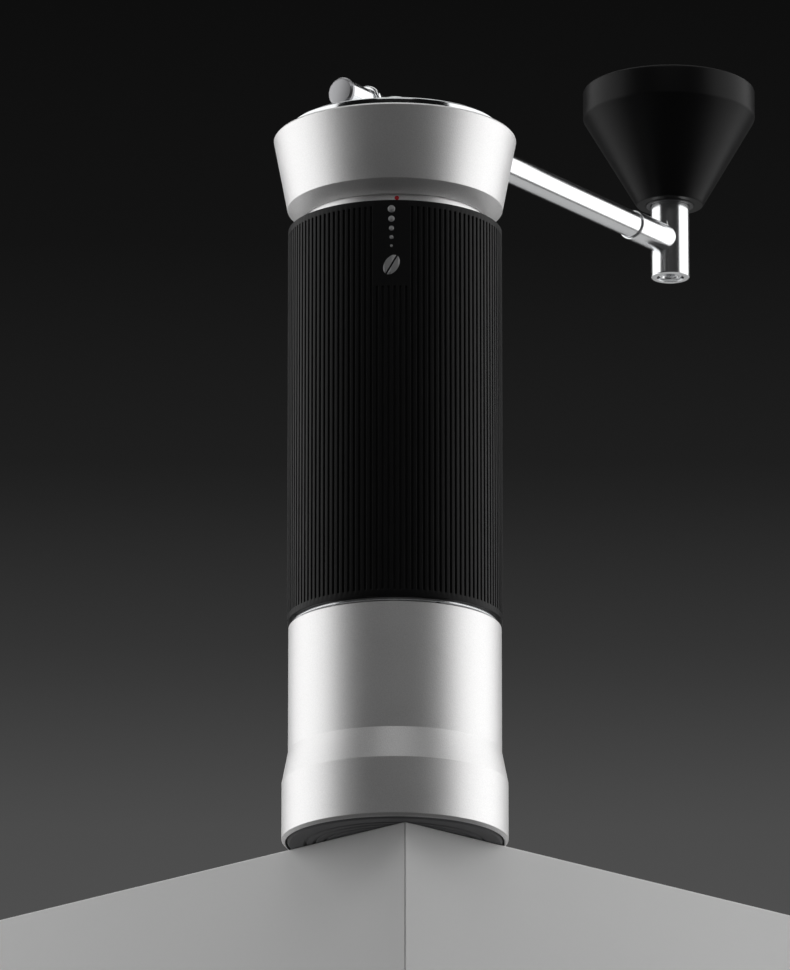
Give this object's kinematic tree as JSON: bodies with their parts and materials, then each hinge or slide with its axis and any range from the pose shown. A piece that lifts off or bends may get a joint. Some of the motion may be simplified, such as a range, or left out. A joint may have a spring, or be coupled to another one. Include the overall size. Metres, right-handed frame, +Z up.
{
  "type": "hand crank coffee grinder",
  "caption": "Cylindrical hand coffee grinder with a flared adjusting ring, a ribbed black grip, a catch cup and a crank arm with an inverted-cone knob.",
  "frame": {"origin": "centre of the foot pad on the surface that the grinder stands on", "axes": "+Z up along the grinder's axis; +X along the crank arm at rest"},
  "size_m": [0.1904, 0.0646, 0.2443],
  "materials": {
    "bead_blasted_aluminium": "bead-blasted, clear anodised",
    "polished_steel": "polished stainless steel",
    "turned_steel": "fine turned",
    "burr_steel": "hardened, ground",
    "black_grip": "matt moulded",
    "black_plastic": "satin moulded",
    "black_rubber": "matt",
    "grey_rubber": "matt",
    "clear_silicone": "translucent matt",
    "red_enamel": "filled enamel",
    "nickel_magnet": "nickel plated",
    "brass": "turned",
    "spring_steel": "oiled",
    "bush_plastic": "low-friction moulded"
  },
  "bodies": {
    "body": {"body_tube": "bead_blasted_aluminium", "grip_sleeve": "black_grip", "end_ring": "turned_steel", "index_dot": "red_enamel", "cup_o_ring": "black_rubber", "ring_drag_seal": "black_rubber", "guide_pins": "turned_steel", "lower_bridge": "bead_blasted_aluminium", "bridge_screws": "turned_steel", "preload_spring": "spring_steel", "outer_burr": "burr_steel", "burr_retainer": "turned_steel"},
    "catch_cup": {"catch_cup": "bead_blasted_aluminium", "cup_magnets": "nickel_magnet", "foot_pad": "grey_rubber"},
    "adjusting_ring": {"adjusting_ring": "bead_blasted_aluminium", "hopper_funnel": "black_plastic"},
    "carrier": {"carrier": "bead_blasted_aluminium", "bearing_circlip": "spring_steel", "upper_outer_race": "turned_steel", "lower_outer_race": "turned_steel"},
    "bearing_balls": {"upper_bearing_balls": "polished_steel", "upper_ball_cage": "brass", "lower_bearing_balls": "polished_steel", "lower_ball_cage": "brass"},
    "spindle": {"spindle": "turned_steel", "spindle_circlip": "spring_steel", "upper_inner_race": "turned_steel", "lower_inner_race": "turned_steel", "inner_burr": "burr_steel", "burr_washer": "turned_steel", "burr_nut": "turned_steel"},
    "crank": {"crank_hub": "polished_steel", "hub_magnet": "nickel_magnet", "hub_set_screw": "spring_steel", "lid_clip": "spring_steel", "crank_arm": "polished_steel", "arm_end_cap": "polished_steel", "arm_collar": "polished_steel", "knob_post": "polished_steel"},
    "lid": {"lid": "polished_steel", "lid_seal": "clear_silicone", "lid_bush": "bush_plastic"},
    "knob": {"knob": "black_plastic", "lower_knob_bush": "bush_plastic", "upper_knob_bush": "bush_plastic", "knob_insert": "brass", "axle_screw": "polished_steel"}
  },
  "joints": [
    {"name": "cup_pull", "type": "slide", "parent": "body", "child": "catch_cup", "axis": [0, 0, -1], "range_m": [0, 0.065]},
    {"name": "grind_setting", "type": "hinge", "parent": "body", "child": "adjusting_ring", "pos_m": [0, 0, 0.18], "axis": [0, 0, 1], "range_deg": [-150, 150]},
    {"name": "carrier_travel", "type": "slide", "parent": "body", "child": "carrier", "axis": [0, 0, 1], "range_m": [-0.0005, 0.0005], "deforming": ["preload_spring"]},
    {"name": "spindle_turn", "type": "hinge", "parent": "carrier", "child": "spindle", "pos_m": [0, 0, 0.18], "axis": [0, 0, 1], "continuous": true},
    {"name": "ball_orbit", "type": "hinge", "parent": "carrier", "child": "bearing_balls", "pos_m": [0, 0, 0.18], "axis": [0, 0, 1], "continuous": true},
    {"name": "crank_lift", "type": "slide", "parent": "spindle", "child": "crank", "axis": [0, 0, 1], "range_m": [0, 0.03]},
    {"name": "lid_turn", "type": "hinge", "parent": "crank", "child": "lid", "pos_m": [0, 0, 0.194], "axis": [0, 0, 1], "continuous": true},
    {"name": "knob_turn", "type": "hinge", "parent": "crank", "child": "knob", "pos_m": [0.1341, 0, 0.22], "axis": [0, 0, 1], "continuous": true}
  ],
  "couplings": [
    {"joint": "carrier_travel", "follows": "grind_setting", "m_per_rad": 0.00019099},
    {"joint": "ball_orbit", "follows": "spindle_turn", "ratio": 0.4},
    {"joint": "lid_turn", "follows": "spindle_turn", "ratio": -1}
  ]
}
